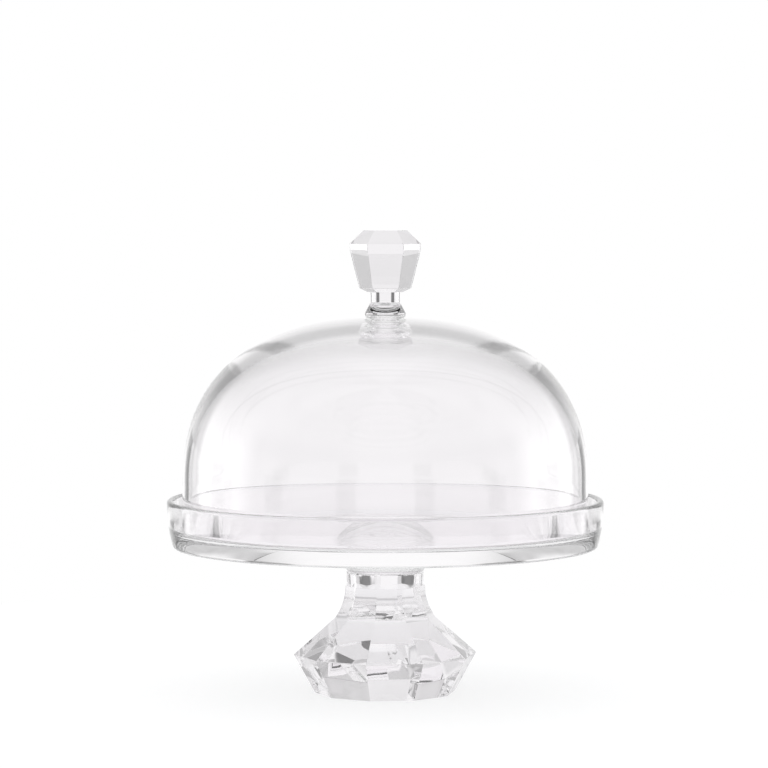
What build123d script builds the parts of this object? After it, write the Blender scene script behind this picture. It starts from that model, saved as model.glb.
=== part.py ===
"""Footed glass cake plate with a lift-off glass dome.

Millimetres, +Z up, origin at the middle of the foot's base. -Y is the front.
The stand is a faceted foot bonded under a rimmed plate. The cover is a blown
dome with a faceted knob bonded on its crown, and it stands loose inside the rim.
Every facet of the foot and of the knob is cut by the same wheel profile,
carried round the axis, as a cutter works round a blank.
"""
from build123d import *
from math import cos, radians, sin
import os

# Foot: a solid blank with equal facets, girdle near the base, fluted waist
foot_height = 100.55
foot_sides = 10
foot_turn = 6.0            # degrees from the front to the middle of a facet
foot_base_radius = 48.6    # to the corners, as are the next four
girdle_radius = 63.2
shoulder_radius = 34.9
waist_radius = 27.6
stem_radius = 26.7
girdle_height = 26.5
shoulder_height = 51.4
waist_height = 73.6

# Collar: the round top of the foot, under the plate
collar_radius = 33.0
collar_thickness = 13.0
collar_cove = 6.0
collar_edge = 1.0

# Bonds: clear cured films between the ground faces
bond_film = 0.15
bond_margin = 0.5

# Dome: superellipse walls, thicker towards the crown
dome_spring_radius = 139.3     # outside radius where the curve starts
dome_flare = 0.4               # how far the skirt leans out below the spring line
dome_wall = 4.9                # at the spring line and below
dome_crown_wall = 10.0
dome_skirt = 32.0              # straight wall below the spring line
dome_rise = 117.0              # outside, from the spring line to the crown
dome_fullness = 2.35           # exponent of the superellipse, 2 is an ellipse
dome_edge_round = 1.5

# Plate: a flat floor with an upright rim round the dome
floor_thickness = 10.3
rim_depth = 22.4               # from the floor up to the lip
floor_fillet = 5.5
seat_margin = 0.4              # flat floor left outside the dome's ground edge
rim_draft = 1.2                # how far the inner wall leans out over its height
lip_width = 4.7
lip_round = 2.2
rim_flare = 4.1                # how far the outer wall leans out over its height
rim_bulge = 1.2                # how far the outer wall bows out of straight
plate_corner = 2.0

# Knob: a cut head on a turned neck
knob_sides = 6
knob_turn = 0.5
knob_height = 57.8
knob_table_radius = 15.2       # to the corners, as are the next two
knob_girdle_radius = 24.5
knob_heel_radius = 17.9
knob_base_radius = 14.1
knob_neck_radius = 10.1
knob_throat_radius = 12.3
knob_base_edge = 1.3
knob_flare_height = 8.5
knob_neck_height = 12.0
knob_throat_height = 15.6
knob_heel_height = 18.2
knob_girdle_low = 44.6
knob_girdle_high = 48.6

# Places that follow from the sizes above
dome_base_radius = dome_spring_radius + dome_flare
plate_base = foot_height + bond_film
floor_level = plate_base + floor_thickness
lip_level = floor_level + rim_depth
spring_level = floor_level + dome_skirt


def superellipse_point(radius, rise, angle):
    """Point at this angle: radius * cos^(2/n), rise * sin^(2/n), n the fullness."""
    power = 2 / dome_fullness
    across = radius * cos(radians(angle)) ** power
    up = rise * sin(radians(angle)) ** power
    return across, up


def superellipse_height(radius, rise, across):
    """Height of the superellipse above the spring line at this radius."""
    share = (across / radius) ** dome_fullness
    return rise * (1 - share) ** (1 / dome_fullness)


def superellipse_curve(radius, rise, level):
    """Quarter curve from the spring line to the axis."""
    angles = [0, 6, 14, 24, 35, 46, 57, 68, 79]
    points = [superellipse_point(radius, rise, angle) for angle in angles]
    places = [(across, level + up) for across, up in points]
    places.append((0, level + rise))
    return Spline(*places, tangents=[(0, 1), (-1, 0)])


def revolved(outline):
    """Turn an XZ outline once round the Z axis."""
    return revolve(outline, Axis.Z, 360)


def wheel_cut(profile, sides, turn, reach):
    """Cut one facet for each side: profile is (distance from the axis, height)."""
    with BuildPart() as stack:
        for side in range(sides):
            facing = turn - 90 + side * 360 / sides
            with BuildSketch(Plane.XZ.rotated((0, 0, facing))) as section:
                with BuildLine():
                    profile()
                make_face()
            extrude(amount=reach, both=True, mode=Mode.ADD if side == 0 else Mode.INTERSECT)
    return stack.part


def apothem(corner_radius, sides):
    """Distance from the axis to the flat of a regular polygon."""
    return corner_radius * cos(radians(180 / sides))


def make_foot():
    """Cut the faceted foot, then leave the round collar standing at its top."""
    reach = 1.5 * girdle_radius
    base = apothem(foot_base_radius, foot_sides)
    girdle = apothem(girdle_radius, foot_sides)
    shoulder = apothem(shoulder_radius, foot_sides)
    waist = apothem(waist_radius, foot_sides)
    stem = apothem(stem_radius, foot_sides)

    def profile():
        Polyline((-reach, 0), (base, 0), (girdle, girdle_height), (shoulder, shoulder_height))
        TangentArc((waist, waist_height), (shoulder, shoulder_height), tangent=(0, -1))
        Polyline((waist, waist_height), (stem, waist_height), (stem, foot_height),
                 (-reach, foot_height), (-reach, 0))

    cut = wheel_cut(profile, foot_sides, foot_turn, reach)
    collar_base = foot_height - collar_thickness
    root = collar_radius - collar_edge - collar_cove
    cove_start = collar_base - collar_cove
    with BuildSketch(Plane.XZ) as section:
        with BuildLine():
            Polyline((0, foot_height), (0, cove_start), (root, cove_start))
            TangentArc((root, cove_start), (root + collar_cove, collar_base), tangent=(0, 1))
            Polyline((root + collar_cove, collar_base), (collar_radius, collar_base + collar_edge),
                     (collar_radius, foot_height), (0, foot_height))
        make_face()
    return cut + revolved(section.sketch)


def make_plate():
    """Turn the plate's section: floor, filleted rim, rounded lip."""
    flat_floor = dome_base_radius - dome_edge_round + seat_margin
    rim_inner_low = flat_floor + floor_fillet
    rim_inner_high = rim_inner_low + rim_draft
    outer_high = rim_inner_high + lip_width
    outer_low = outer_high - rim_flare
    middle = (outer_low + outer_high) / 2 + rim_bulge
    half_way = (plate_base + lip_level) / 2
    with BuildSketch(Plane.XZ) as section:
        with BuildLine():
            Polyline((0, plate_base), (outer_low, plate_base))
            ThreePointArc((outer_low, plate_base), (middle, half_way), (outer_high, lip_level))
            Polyline((outer_high, lip_level), (rim_inner_high, lip_level),
                     (rim_inner_low, floor_level), (0, floor_level), (0, plate_base))
        make_face()
        corners = section.vertices().filter_by(lambda v: v.X > rim_inner_low / 2)
        lip = corners.filter_by(lambda v: v.Z > lip_level - 1)
        fillet(lip, lip_round)
        root = section.vertices().filter_by(lambda v: v.X > rim_inner_low / 2)
        fillet(root.sort_by(lambda v: abs(v.Z - floor_level) + abs(v.X - rim_inner_low))[0], floor_fillet)
        foot_edge = section.vertices().sort_by(lambda v: abs(v.Z - plate_base) + abs(v.X - outer_low))[0]
        fillet(foot_edge, plate_corner)
    return revolved(section.sketch)


def make_dome():
    """Turn the dome's wall between two superellipses and grind a flat for the knob."""
    inner_radius = dome_spring_radius - dome_wall
    inner_rise = dome_rise - dome_crown_wall
    with BuildSketch(Plane.XZ) as section:
        with BuildLine():
            superellipse_curve(dome_spring_radius, dome_rise, spring_level)
            superellipse_curve(inner_radius, inner_rise, spring_level)
            Line((0, spring_level + inner_rise), (0, spring_level + dome_rise))
            Polyline((dome_spring_radius, spring_level), (dome_base_radius, floor_level),
                     (inner_radius + dome_flare, floor_level), (inner_radius, spring_level))
        make_face()
        rim = section.vertices().filter_by(lambda v: v.Z < floor_level + 1)
        fillet(rim, dome_edge_round)
    shell = revolved(section.sketch)
    above = Pos(0, 0, knob_seat_level()) * Cylinder(
        dome_base_radius, dome_rise, align=(Align.CENTER, Align.CENTER, Align.MIN))
    return shell - above


def knob_seat_level():
    """Height of the flat that the knob's whole base just covers."""
    edge = superellipse_height(dome_spring_radius, dome_rise, knob_base_radius)
    return spring_level + edge


def make_knob():
    """Turn the neck, cut the head, and join them as one piece of glass."""
    base = knob_seat_level() + bond_film
    table = base + knob_height
    heel = apothem(knob_heel_radius, knob_sides)
    girdle = apothem(knob_girdle_radius, knob_sides)
    crown = apothem(knob_table_radius, knob_sides)
    throat = apothem(knob_throat_radius, knob_sides)
    reach = 2 * knob_girdle_radius

    def profile():
        Polyline((-reach, base + knob_throat_height), (throat, base + knob_throat_height),
                 (heel, base + knob_heel_height), (girdle, base + knob_girdle_low),
                 (girdle, base + knob_girdle_high), (crown, table), (-reach, table),
                 (-reach, base + knob_throat_height))

    head = wheel_cut(profile, knob_sides, knob_turn, reach)
    neck_level = base + knob_neck_height
    throat_level = base + (knob_throat_height + knob_heel_height) / 2
    with BuildSketch(Plane.XZ) as section:
        with BuildLine():
            Polyline((0, throat_level), (0, base), (knob_base_radius, base),
                     (knob_base_radius, base + knob_base_edge),
                     (knob_neck_radius, base + knob_flare_height), (knob_neck_radius, neck_level))
            TangentArc((knob_neck_radius, neck_level), (throat, throat_level), tangent=(0, 1))
            Line((throat, throat_level), (0, throat_level))
        make_face()
    return head + revolved(section.sketch)


def film(radius, level):
    """One bond: a thin disc that lies between two ground faces."""
    return Pos(0, 0, level) * Cylinder(radius, bond_film, align=(Align.CENTER, Align.CENTER, Align.MIN))


pieces = {
    "foot": make_foot(),
    "foot_bond": film(collar_radius - bond_margin, foot_height),
    "cake_plate": make_plate(),
    "dome": make_dome(),
    "knob_bond": film(knob_base_radius - bond_margin, knob_seat_level()),
    "knob": make_knob(),
}

os.makedirs("parts", exist_ok=True)
for name, piece in pieces.items():
    export_step(piece, f"parts/{name}.step")
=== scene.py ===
import math

import bpy
import numpy as np
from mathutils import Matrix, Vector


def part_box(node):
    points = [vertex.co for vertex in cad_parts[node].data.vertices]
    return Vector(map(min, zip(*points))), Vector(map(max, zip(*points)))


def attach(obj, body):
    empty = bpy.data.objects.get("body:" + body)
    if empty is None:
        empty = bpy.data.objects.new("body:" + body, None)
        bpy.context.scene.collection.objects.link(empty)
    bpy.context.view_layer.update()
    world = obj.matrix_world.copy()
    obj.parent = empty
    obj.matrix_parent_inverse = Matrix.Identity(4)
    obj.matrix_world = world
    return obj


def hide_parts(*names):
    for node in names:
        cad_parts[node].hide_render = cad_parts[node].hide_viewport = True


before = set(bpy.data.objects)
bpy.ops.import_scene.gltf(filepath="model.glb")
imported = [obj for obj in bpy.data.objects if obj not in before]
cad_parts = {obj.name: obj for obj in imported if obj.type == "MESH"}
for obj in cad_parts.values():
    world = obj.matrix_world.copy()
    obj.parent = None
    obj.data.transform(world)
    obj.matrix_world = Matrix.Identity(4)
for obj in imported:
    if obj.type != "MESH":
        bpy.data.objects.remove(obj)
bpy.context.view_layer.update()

# Camera: a long lens just above the height of the knob, looking a little down, as a
# catalogue photograph of tall tableware is taken. The axis of the object falls a little
# over one pixel right of the middle of the frame.
frame_pixels = 768
lens_pixels = 3420.0
camera_distance = 2.345
camera_height = 0.3385
camera_dip = math.radians(3.08)
axis_pixel = 385.3

camera_data = bpy.data.cameras.new("camera")
camera_data.lens = lens_pixels / frame_pixels * camera_data.sensor_width
camera_data.shift_x = (frame_pixels / 2 - axis_pixel) / frame_pixels
camera_data.clip_start = 0.05
camera_data.clip_end = 50
camera = bpy.data.objects.new("camera", camera_data)
bpy.context.collection.objects.link(camera)
camera.location = (0, -camera_distance, camera_height)
camera.rotation_euler = (math.pi / 2 - camera_dip, 0, 0)
bpy.context.scene.camera = camera
bpy.context.scene.view_settings.view_transform = "Standard"


# Studio: low white panels stand round the table with dark gaps between them, under a pale
# ceiling, and draw the edges of the glass. Mirror reflections show a dim room with a long
# lamp on either side, for the streaks on the dome. The camera itself sees plain white.
def add_node(tree, kind, inputs=None, **settings):
    """Add one node; inputs are values or output sockets, settings are its own fields."""
    node = tree.nodes.new(kind)
    for field, value in settings.items():
        setattr(node, field, value)
    for key, value in (inputs or {}).items():
        socket = node.inputs[key]
        if isinstance(value, bpy.types.NodeSocket):
            tree.links.new(value, socket)
        else:
            socket.default_value = value
    return node


# Panels: heights here and below are sines of the angle above or below the horizon.
panel_count = 8
panel_half_width = math.radians(17)
panel_edge = math.radians(1.5)
panel_top = math.sin(math.radians(4.6))
panel_top_blur = 0.02
gap_light = 0.2

# Ceiling: four pale parts, and a dimmer ring round the room below them. The edges of a part
# are places on a cosine wave, which is 1 in its middle and -1 halfway to the next.
ceiling_parts = 4
ceiling_light = 1.0
ceiling_gap_light = 0.62
ceiling_gap_edge = -0.6
ceiling_part_edge = 0.7
ring_height = math.sin(math.radians(21))
ring_light = 0.64
ring_core = 0.04
ring_reach = 0.2

# Floor of the room, past the table's edge, as far below the horizon as these sines say
floor_light = 0.95
floor_start = -0.1
floor_full = -0.2

# Mirror reflections: each pair is a place, from 0 behind the camera to 1 at the far side,
# and its light. The lamps fade from streak_low up to streak_high.
streak_light = 2.4
streak_low = 0.15
streak_high = 0.6
streak_high_light = 0.15
streak_start = (0.40, 0.0)
streak_full = (0.52, 1.0)
streak_end = ((0.81, 1.0), (0.85, 0.2), (0.93, 0.2), (0.97, 0.4))
dim_light = 0.08
room_light = 1.0

world = bpy.data.worlds.new("studio")
bpy.context.scene.world = world
world.use_nodes = True
room = world.node_tree
room.nodes.clear()
outlook = add_node(room, "ShaderNodeTexCoord")
heading = add_node(room, "ShaderNodeSeparateXYZ", {0: outlook.outputs["Generated"]})
azimuth = add_node(room, "ShaderNodeMath", {0: heading.outputs["X"], 1: heading.outputs["Y"]},
                   operation="ARCTAN2")
turns = add_node(room, "ShaderNodeMath", {
    0: azimuth.outputs[0], 1: panel_count}, operation="MULTIPLY")
wave = add_node(room, "ShaderNodeMath", {0: turns.outputs[0]}, operation="COSINE")
panels = add_node(room, "ShaderNodeMapRange", {
    "Value": wave.outputs[0],
    "From Min": math.cos(panel_count * (panel_half_width + panel_edge)),
    "From Max": math.cos(panel_count * (panel_half_width - panel_edge)),
    "To Min": gap_light, "To Max": 1.0}, interpolation_type="SMOOTHSTEP")
steepness = add_node(room, "ShaderNodeMath", {0: heading.outputs["Z"]}, operation="ABSOLUTE")
above_panels = add_node(room, "ShaderNodeMapRange", {
    "Value": steepness.outputs[0], "From Min": panel_top, "From Max": panel_top + panel_top_blur},
    interpolation_type="SMOOTHSTEP")
parts = add_node(room, "ShaderNodeMath", {
    0: azimuth.outputs[0], 1: ceiling_parts}, operation="MULTIPLY")
part_wave = add_node(room, "ShaderNodeMath", {0: parts.outputs[0]}, operation="COSINE")
ceiling = add_node(room, "ShaderNodeMapRange", {
    "Value": part_wave.outputs[0], "From Min": ceiling_gap_edge, "From Max": ceiling_part_edge,
    "To Min": ceiling_gap_light, "To Max": ceiling_light}, interpolation_type="SMOOTHSTEP")
over_ring = add_node(room, "ShaderNodeMath", {
    0: heading.outputs["Z"], 1: ring_height}, operation="SUBTRACT")
off_ring = add_node(room, "ShaderNodeMath", {0: over_ring.outputs[0]}, operation="ABSOLUTE")
ring = add_node(room, "ShaderNodeMapRange", {
    "Value": off_ring.outputs[0], "From Min": ring_core, "From Max": ring_reach,
    "To Min": ring_light, "To Max": 1.0}, interpolation_type="SMOOTHSTEP")
roof = add_node(room, "ShaderNodeMath", {
    0: ceiling.outputs[0], 1: ring.outputs[0]}, operation="MULTIPLY")
past_table = add_node(room, "ShaderNodeMapRange", {
    "Value": heading.outputs["Z"], "From Min": floor_full, "From Max": floor_start,
    "To Min": floor_light, "To Max": roof.outputs[0]}, interpolation_type="SMOOTHSTEP")
seen_through = add_node(room, "ShaderNodeMix", {
    "Factor": above_panels.outputs[0], "A": panels.outputs[0], "B": past_table.outputs[0]},
    data_type="FLOAT")
depth = add_node(room, "ShaderNodeMapRange", {"Value": heading.outputs["Y"], "From Min": -1.0})
streaks = add_node(room, "ShaderNodeValToRGB", {0: depth.outputs[0]})
stops = streaks.color_ramp.elements
stops[0].position, stops[1].position = streak_start[0], streak_full[0]
stops[0].color, stops[1].color = [(light, light, light, 1) for _, light in (streak_start, streak_full)]
for place, light in streak_end:
    stop = stops.new(place)
    stop.color = (light, light, light, 1)
streak_top = add_node(room, "ShaderNodeMapRange", {
    "Value": heading.outputs["Z"], "From Min": streak_low, "From Max": streak_high,
    "To Min": streak_light, "To Max": streak_high_light}, interpolation_type="SMOOTHSTEP")
mirrored = add_node(room, "ShaderNodeMath", {
    0: streaks.outputs[0], 1: streak_top.outputs[0], 2: dim_light}, operation="MULTIPLY_ADD")
rays = add_node(room, "ShaderNodeLightPath")
reflected = add_node(room, "ShaderNodeMath", {
    0: rays.outputs["Is Glossy Ray"], 1: rays.outputs["Is Transmission Ray"]},
    operation="SUBTRACT", use_clamp=True)
by_glass = add_node(room, "ShaderNodeMix", {
    "Factor": reflected.outputs[0], "A": seen_through.outputs[0],
    "B": mirrored.outputs[0]}, data_type="FLOAT")
by_table = add_node(room, "ShaderNodeMix", {
    "Factor": rays.outputs["Is Diffuse Ray"], "A": by_glass.outputs[0], "B": room_light},
    data_type="FLOAT")
by_camera = add_node(room, "ShaderNodeMix", {
    "Factor": rays.outputs["Is Camera Ray"], "A": by_table.outputs[0], "B": 1.0},
    data_type="FLOAT")
backdrop = add_node(room, "ShaderNodeBackground", {
    "Color": (1, 1, 1, 1), "Strength": by_camera.outputs[0]})
add_node(room, "ShaderNodeOutputWorld", {"Surface": backdrop.outputs[0]})


# Table: a round board with a pale matt top, nearly white to the camera, that keeps the
# object's soft shadow. Through glass it is a little darker, with a painted shadow ring under
# the plate's rim, so that the foot keeps its greys.
def linear(hex_colour):
    """sRGB hex to linear RGBA: c / 12.92 to 0.04045, else ((c + 0.055) / 1.055) ^ 2.4."""
    channels = [int(hex_colour[place:place + 2], 16) / 255 for place in (1, 3, 5)]
    parts = [c / 12.92 if c <= 0.04045 else ((c + 0.055) / 1.055) ** 2.4 for c in channels]
    return (*parts, 1.0)


def add_piece(name, points, faces, materials):
    """Make a mesh piece from arrays of points (metres) and faces."""
    mesh = bpy.data.meshes.new(name)
    mesh.from_pydata(points, [], faces)
    for material in materials:
        mesh.materials.append(material)
    piece = bpy.data.objects.new(name, mesh)
    bpy.context.collection.objects.link(piece)
    return piece


table_radius = 0.6
table_drop = 0.0002        # just below the foot, so that no two faces share a plane
table_sides = 96
table_glow = 0.79
table_in_glass = 0.72
# Painted shadow: a soft ring of dimmer glow on the table, seen only through glass
rim_shadow_radius = 0.142
rim_shadow_width = 0.025
rim_shadow_light = 0.42
paint_grain_mm = 1.11

# Matt white paint, rolled on board: an even, dull white with a faint mottle, drawn over
# 1 mm wide, because the real one is too fine to show. Over it the board glows, and through
# glass that glow carries a painted shadow ring.
table_white = bpy.data.materials.new("matt_painted_table")
table_white.use_nodes = True
tree = table_white.node_tree
tree.nodes.clear()
spot = add_node(tree, "ShaderNodeTexCoord").outputs["Object"]
mottle = add_node(tree, "ShaderNodeTexNoise", {"Vector": spot, "Scale": 1000 / paint_grain_mm})
shade = add_node(tree, "ShaderNodeMix", {
    "Factor": mottle.outputs[0], "A": linear("#8B8C8D"), "B": linear("#8F9091")}, data_type="RGBA")
paint = add_node(tree, "ShaderNodeBsdfDiffuse", {"Color": shade.outputs["Result"]})
path = add_node(tree, "ShaderNodeLightPath")
# Painted shadow: through glass the glow falls to rim_shadow_light in a ring round rim_shadow_radius,
# standing in for the shade of the plate's rim
reach = add_node(tree, "ShaderNodeVectorMath", {0: spot}, operation="LENGTH")
past_rim = add_node(tree, "ShaderNodeMath", {
    0: reach.outputs["Value"], 1: rim_shadow_radius}, operation="SUBTRACT")
off_rim = add_node(tree, "ShaderNodeMath", {0: past_rim.outputs[0]}, operation="ABSOLUTE")
rim_shadow = add_node(tree, "ShaderNodeMapRange", {
    "Value": off_rim.outputs[0], "From Max": rim_shadow_width, "To Min": rim_shadow_light,
    "To Max": table_in_glass}, interpolation_type="SMOOTHSTEP")
level = add_node(tree, "ShaderNodeMix", {
    "Factor": path.outputs["Is Camera Ray"], "A": rim_shadow.outputs[0], "B": table_glow},
    data_type="FLOAT")
glow = add_node(tree, "ShaderNodeEmission", {"Strength": level.outputs[0]})
lit = add_node(tree, "ShaderNodeAddShader", {0: paint.outputs[0], 1: glow.outputs[0]})
add_node(tree, "ShaderNodeOutputMaterial", {"Surface": lit.outputs[0]})

around = np.linspace(0, 2 * np.pi, table_sides, endpoint=False)
table_points = np.column_stack([
    table_radius * np.cos(around), table_radius * np.sin(around), np.full(table_sides, -table_drop)])
table = add_piece("table", table_points.tolist(), [list(range(table_sides))], [table_white])

# Light crosses many faces of thick glass before it leaves, so its paths are long.
cycles = bpy.context.scene.cycles
cycles.max_bounces = 32
cycles.transmission_bounces = 32
cycles.glossy_bounces = 24
cycles.transparent_max_bounces = 32


# Foot: one block of clear crystal with ten equal cuts: a ground base, a girdle, a
# shoulder and a hollow flute up to the stem, under a round collar. Cut on a wheel and
# polished, so the facets are flat and the edges crisp. Its top is bonded.
def glass(name, tint, index, swell_mm, swell_height_mm, grain_mm, grain_height_mm, roughness):
    """Clear glass of one tint. A broad swell and a fine grain of noise bend its surface, and
    the grain's peaks are a little hazy, from none at haze_start to roughness at haze_full."""
    haze_start, haze_full = 0.35, 0.75
    material = bpy.data.materials.new(name)
    material.use_nodes = True
    tree = material.node_tree
    tree.nodes.clear()
    place = add_node(tree, "ShaderNodeTexCoord").outputs["Object"]
    swell = add_node(tree, "ShaderNodeTexNoise", {
        "Vector": place, "Scale": 1000 / swell_mm, "Detail": 0.0})
    grain = add_node(tree, "ShaderNodeTexNoise", {
        "Vector": place, "Scale": 1000 / grain_mm, "Detail": 2.0})
    bent = add_node(tree, "ShaderNodeBump", {
        "Height": swell.outputs[0], "Distance": swell_height_mm / 1000})
    surface_normal = add_node(tree, "ShaderNodeBump", {
        "Height": grain.outputs[0], "Distance": grain_height_mm / 1000, "Normal": bent.outputs[0]})
    haze = add_node(tree, "ShaderNodeMapRange", {
        "Value": grain.outputs[0], "From Min": haze_start, "From Max": haze_full,
        "To Min": 0.0, "To Max": roughness})
    surface = add_node(tree, "ShaderNodeBsdfPrincipled", {
        "Base Color": linear(tint), "Roughness": haze.outputs[0], "IOR": index,
        "Transmission Weight": 1.0, "Normal": surface_normal.outputs[0]})
    add_node(tree, "ShaderNodeOutputMaterial", {"Surface": surface.outputs[0]})
    return material


def bond(name, clear, cloudy, cloud_mm):
    """Index-matched cement: light passes straight on, faintly clouded by noise."""
    material = bpy.data.materials.new(name)
    material.use_nodes = True
    tree = material.node_tree
    tree.nodes.clear()
    cloud = add_node(tree, "ShaderNodeTexNoise", {
        "Vector": add_node(tree, "ShaderNodeTexCoord").outputs["Object"], "Scale": 1000 / cloud_mm})
    colour = add_node(tree, "ShaderNodeMix", {
        "Factor": cloud.outputs[0], "A": linear(clear), "B": linear(cloudy)}, data_type="RGBA")
    through = add_node(tree, "ShaderNodeBsdfTransparent", {"Color": colour.outputs["Result"]})
    add_node(tree, "ShaderNodeOutputMaterial", {"Surface": through.outputs[0]})
    return material


def rounded(corners, radii, steps):
    """Polyline whose inner corner p between unit legs u, v becomes an arc of radius q: centre
    p + (u + v) / |u + v| * q / sin(half angle), from leg to leg in equal turns."""
    corners = np.array(corners, float)
    points = [corners[:1]]
    for before, corner, after, radius in zip(corners, corners[1:], corners[2:], radii):
        if radius == 0:
            points.append(corner[None])
            continue
        u = (before - corner) / np.linalg.norm(before - corner)
        v = (after - corner) / np.linalg.norm(after - corner)
        half = math.acos(np.clip(u @ v, -1, 1)) / 2
        middle = (u + v) / np.linalg.norm(u + v)
        centre = corner + middle * radius / math.sin(half)
        start = math.atan2(*(corner + u * radius / math.tan(half) - centre)[::-1])
        turn = math.atan2(*(corner + v * radius / math.tan(half) - centre)[::-1]) - start
        turn = (turn + math.pi) % (2 * math.pi) - math.pi
        angles = start + turn * np.linspace(0, 1, steps + 1)
        points.append(centre + radius * np.column_stack([np.cos(angles), np.sin(angles)]))
    points.append(corners[-1:])
    return np.concatenate(points)


def cut_rings(apothems, round_radii, heights, sides, turn, edge, flats, arcs):
    """Rings of a faceted, turned body (mm). Each ring is the larger of two outlines: a
    regular polygon at this apothem, its corners rounded by edge, and a circle. A side has
    as many points as flats says, and a corner as many as arcs says."""
    half = math.pi / sides
    apothems = np.asarray(apothems, float)[:, None]
    along = np.linspace(-1, 1, flats)[None, :] * (apothems - edge) * math.tan(half)
    flat = np.stack([np.broadcast_to(apothems, along.shape), along], axis=-1)
    swing = np.linspace(0, 2 * half, arcs + 2)[1:-1]
    centre = (apothems - edge) * np.array([1, math.tan(half)])
    corner = centre[:, None, :] + edge * np.column_stack([np.cos(swing), np.sin(swing)])[None]
    facet = np.concatenate([flat, corner], axis=1)
    radius = np.hypot(facet[..., 0], facet[..., 1])
    radius = np.maximum(radius, np.asarray(round_radii, float)[:, None])
    angle = np.arctan2(facet[..., 1], facet[..., 0])
    facing = math.radians(turn - 90) + 2 * half * np.arange(sides)
    angle = (angle[:, None, :] + facing[None, :, None]).reshape(len(apothems), -1)
    radius = np.tile(radius, (1, sides))
    level = np.broadcast_to(np.asarray(heights, float)[:, None], radius.shape)
    return np.stack([radius * np.cos(angle), radius * np.sin(angle), level], axis=-1)


def skin(name, rings, first_level, last_level, finish, bonded):
    """Close rings of points (mm) into one skin: quads from ring to ring, wrapped round, and a
    fan from the first and the last ring to a point on the axis. The first or the last fan is
    bonded, so it has the cement's material. Faces that turn by less than crisp are smooth."""
    crisp = math.radians(5.5)
    count, sides = rings.shape[:2]
    points = np.concatenate([rings.reshape(-1, 3), [[0, 0, first_level], [0, 0, last_level]]]) / 1000
    step = np.arange(sides)
    after = (step + 1) % sides
    low = np.arange(count - 1)[:, None] * sides
    quads = np.stack([low + step, low + after, low + sides + after, low + sides + step], axis=-1)
    top = (count - 1) * sides
    first = np.column_stack([np.full(sides, count * sides), after, step])
    last = np.column_stack([np.full(sides, count * sides + 1), top + step, top + after])
    faces = first.tolist() + quads.reshape(-1, 4).tolist() + last.tolist()
    piece = add_piece(name, points.tolist(), faces, [finish, cement])
    slots = np.zeros(len(faces), int)
    if bonded == "first":
        slots[:sides] = 1
    else:
        slots[-sides:] = 1
    mesh = piece.data
    mesh.polygons.foreach_set("material_index", slots)
    mesh.polygons.foreach_set("use_smooth", np.ones(len(faces), bool))
    mesh.set_sharp_from_angle(angle=crisp)
    mesh.update()
    return piece


foot_sides = 10
foot_turn = 6.0            # degrees from the front to the middle of a facet
foot_edge = 0.5            # left round by the polishing, as is knob_edge
foot_corner_radii = np.array([48.6, 63.2, 34.9, 27.6, 26.7])    # from the base up to the stem
girdle_height = 26.5
shoulder_height = 51.4
waist_height = 73.6
flute_steps = 14
collar_radius = 33.0
collar_thickness = 13.0
collar_cove = 6.0
collar_edge = 1.0
cove_steps = 24

foot_low, foot_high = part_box("foot")
foot_top = foot_high.z * 1000
base, girdle, shoulder, waist, stem = foot_corner_radii * math.cos(math.pi / foot_sides)
flute_rise = waist_height - shoulder_height
flute_depth = shoulder - waist
flute = (flute_depth ** 2 + flute_rise ** 2) / (2 * flute_depth)
sweep = np.linspace(math.asin(flute_rise / flute), 0, flute_steps)
fluted = np.column_stack([waist + flute * (1 - np.cos(sweep)), waist_height - flute * np.sin(sweep)])
facets = rounded([(base, 0), (girdle, girdle_height), fluted[0]], [foot_edge], steps=4)
facets = np.concatenate([facets, fluted[1:], [(stem, waist_height)]])

collar_base = foot_top - collar_thickness
collar_root = collar_radius - collar_edge - collar_cove
cove = np.linspace(0, math.pi / 2, cove_steps)
collar = np.column_stack([collar_root + collar_cove * (1 - np.cos(cove)),
                          collar_base - collar_cove + collar_cove * np.sin(cove)])
collar = np.concatenate([
    collar, [(collar_radius, collar_base + collar_edge), (collar_radius, foot_top)]])
apothems = np.concatenate([facets[:, 0], np.full(len(collar), stem)])
turned = np.concatenate([np.zeros(len(facets)), collar[:, 0]])
levels = np.concatenate([facets[:, 1], collar[:, 1]])
foot_rings = cut_rings(apothems, turned, levels, foot_sides, foot_turn, foot_edge, flats=9, arcs=3)

# Crystal, wheel cut and polished: colourless and bright, with facets so flat that what is
# seen through them stays sharp. The wheel leaves only a faint, slow swell.
cut_crystal = glass("cut_crystal", tint="#F8F6F8", index=1.54, swell_mm=30.0, swell_height_mm=0.004,
                    grain_mm=2.5, grain_height_mm=0.0001, roughness=0.004)

# UV-cured acrylic cement, as clear and as dense as the glass: no mirror at the joint, only a
# faint cloud, drawn 3 mm across, because the real one is too fine to show.
cement = bond("clear_cement", clear="#FEFEFE", cloudy="#F8F9F8", cloud_mm=3.0)

foot = skin("foot", foot_rings, foot_low.z * 1000, foot_top, cut_crystal, bonded="last")
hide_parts("foot")
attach(foot, "stand")


# Foot bond: the cured film of clear cement between the collar and the plate. It is too
# thin to see, and matches the glass, so the two pieces look like one.
foot_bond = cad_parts["foot_bond"]
foot_bond.data.materials.clear()
foot_bond.data.materials.append(cement)


# Cake plate: pressed soda-lime glass with a flat floor and an upright rim, fire polished,
# so its lip and corners are softly rounded and its faces ripple a little. It is bonded on
# the foot's collar.
def turned_rings(outline, sides):
    """Rings of an outline (radius, height in mm) turned once round the axis: at each angle
    the point is radius * cos, radius * sin, height."""
    angle = np.linspace(0, 2 * np.pi, sides, endpoint=False)[None, :]
    radius = outline[:, :1]
    level = np.broadcast_to(outline[:, 1:], (len(outline), sides))
    return np.stack([radius * np.cos(angle), radius * np.sin(angle), level], axis=-1)


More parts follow.
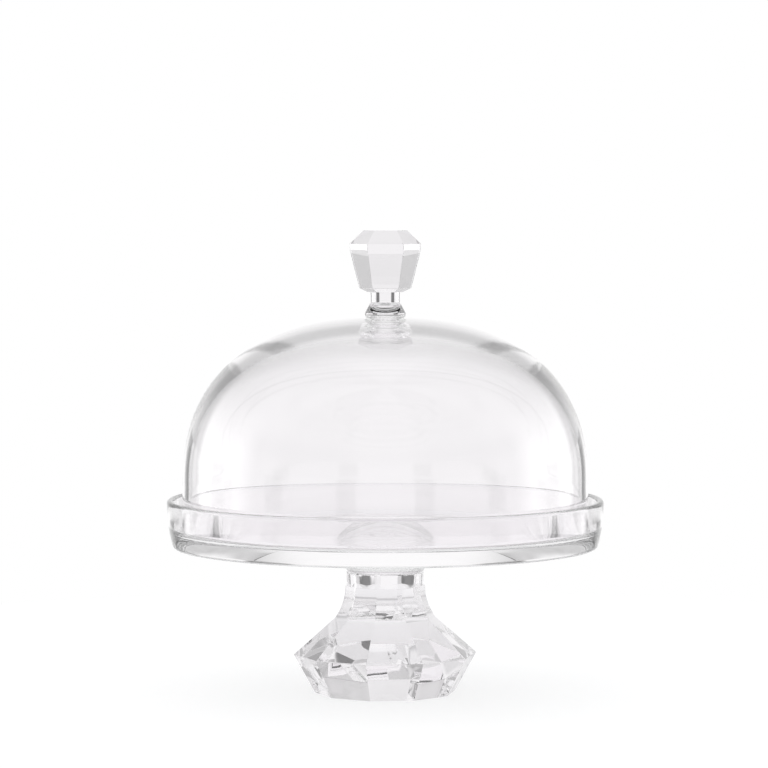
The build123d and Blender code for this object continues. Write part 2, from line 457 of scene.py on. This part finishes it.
floor_thickness = 10.3
floor_fillet = 5.5
rim_inner_low, rim_inner_high = 144.1, 145.3
rim_outer_low, rim_outer_high = 145.9, 149.97     # the bulge adds 0.03 just below the lip
rim_bulge = 1.2
rim_steps = 14
lip_round = 2.2
plate_corner = 2.0
floor_radii = np.linspace(60, 10, 6)      # rings that keep the floor's faces small
turned_sides = 240

plate_low, plate_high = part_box("cake_plate")
plate_base = plate_low.z * 1000
plate_lip = plate_high.z * 1000
floor_level = plate_base + floor_thickness
rise = np.linspace(0, 1, rim_steps)
wall = np.column_stack([
    rim_outer_low + (rim_outer_high - rim_outer_low) * rise + 4 * rim_bulge * rise * (1 - rise),
    plate_base + (plate_lip - plate_base) * rise])
rim = rounded([(collar_radius, plate_base), *wall, (rim_inner_high, plate_lip),
               (rim_inner_low, floor_level), (floor_radii[0], floor_level)],
              [plate_corner, *[0] * (rim_steps - 2), lip_round, lip_round, floor_fillet],
              steps=18)
floor = np.column_stack([floor_radii[1:], np.full(len(floor_radii) - 1, floor_level)])
plate_rings = turned_rings(np.concatenate([rim, floor]), turned_sides)

# Soda-lime glass, pressed in a mould and fire polished: glossy, with a slow ripple from the
# mould that makes the lines seen through the floor and the rim waver.
pressed_glass = glass("pressed_glass", tint="#FDFCFD", index=1.52, swell_mm=45.0, swell_height_mm=0.02,
                      grain_mm=4.0, grain_height_mm=0.0002, roughness=0.006)

cake_plate = skin("cake_plate", plate_rings, plate_base, floor_level, pressed_glass, bonded="first")
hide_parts("cake_plate")
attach(cake_plate, "stand")


# Dome: blown clear glass, a superellipse wall thickest at the crown, with a ground and
# polished edge below and a small ground flat on top for the knob. It stands loose on the
# plate's floor, inside the rim.
def superellipse(radius, rise, fullness, level, angles):
    """radius * cos^(2/n), level + rise * sin^(2/n), n the fullness."""
    return np.column_stack([radius * np.cos(angles) ** (2 / fullness),
                            level + rise * np.sin(angles) ** (2 / fullness)])


dome_radius = 139.3
dome_flare = 0.4
dome_wall = 4.9
dome_crown_wall = 10.0
dome_skirt = 32.0
dome_rise = 117.0
dome_fullness = 2.35
dome_edge_round = 1.5
curve_steps = 110
from_spring = 0.004        # first and last angles of the curves, short of their ends
from_axis = 0.01
knob_base_radius = 14.1

dome_low, dome_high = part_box("dome")
dome_base = dome_low.z * 1000
dome_top = dome_high.z * 1000
dome_spring = dome_base + dome_skirt
inner_radius = dome_radius - dome_wall
inner_rise = dome_rise - dome_crown_wall
seat_angle = math.acos((knob_base_radius / dome_radius) ** (dome_fullness / 2))
inside = superellipse(inner_radius, inner_rise, dome_fullness, dome_spring,
                      np.linspace(math.pi / 2 - from_axis, from_spring, curve_steps))
outside = superellipse(dome_radius, dome_rise, dome_fullness, dome_spring,
                       np.linspace(from_spring, seat_angle, curve_steps))
ground_edge = rounded([(inner_radius, dome_spring), (inner_radius + dome_flare, dome_base),
                       (dome_radius + dome_flare, dome_base), (dome_radius, dome_spring)],
                      [dome_edge_round, dome_edge_round], steps=18)
dome_rings = turned_rings(np.concatenate([inside, ground_edge, outside]), turned_sides)

# Soda-lime glass, blown and fire finished: very glossy, with broad shallow swells from the
# blowing, which soften the edges of what it mirrors.
blown_glass = glass("blown_glass", tint="#FDFCFD", index=1.52, swell_mm=80.0, swell_height_mm=0.03,
                    grain_mm=6.0, grain_height_mm=0.0001, roughness=0.004)

dome = skin("dome", dome_rings, dome_spring + inner_rise, dome_top, blown_glass, bonded="last")
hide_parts("dome")
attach(dome, "cover")


# Knob bond: the cured film of clear cement between the knob and the dome's flat. Like the
# one on the foot, it matches the glass and can't be told from it.
knob_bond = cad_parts["knob_bond"]
knob_bond.data.materials.clear()
knob_bond.data.materials.append(cement)


# Knob: the same crystal as the foot, a turned neck under a head with six wheel cuts,
# all polished. Its base is ground flat and bonded on the crown.
knob_sides = 6
knob_turn = 0.5
knob_edge = 0.7
knob_corner_radii = np.array([12.3, 17.9, 24.5, 15.2])     # throat, heel, girdle and table
base_edge = 1.3
neck_radius = 10.1
neck_top_radius = 10.25
neck_core = 8.0            # polygon that the round neck hides
flare_height = 8.5
neck_height = 12.0
throat_height = 15.6
heel_height = 18.2
girdle_low = 44.6
girdle_high = 48.6
knob_height = 57.8

knob_low, knob_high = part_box("knob")
knob_base = knob_low.z * 1000
throat, heel, head_girdle, head_table = knob_corner_radii * math.cos(math.pi / knob_sides)
neck = np.array([(knob_base_radius, 0), (knob_base_radius, base_edge), (neck_radius, flare_height),
                 (neck_radius, neck_height), (neck_top_radius, throat_height)])
head = rounded([(throat, throat_height), (heel, heel_height), (head_girdle, girdle_low),
                (head_girdle, girdle_high), (head_table, knob_height), (head_table / 2, knob_height)],
               [knob_edge] * 4, steps=4)
apothems = np.concatenate([np.full(len(neck), neck_core), head[:, 0]])
turned = np.concatenate([neck[:, 0], np.zeros(len(head))])
levels = knob_base + np.concatenate([neck[:, 1], head[:, 1]])
knob_rings = cut_rings(apothems, turned, levels, knob_sides, knob_turn, knob_edge, flats=17, arcs=3)

knob = skin("knob", knob_rings, knob_base, knob_high.z * 1000, cut_crystal, bonded="first")
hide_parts("knob")
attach(knob, "cover")
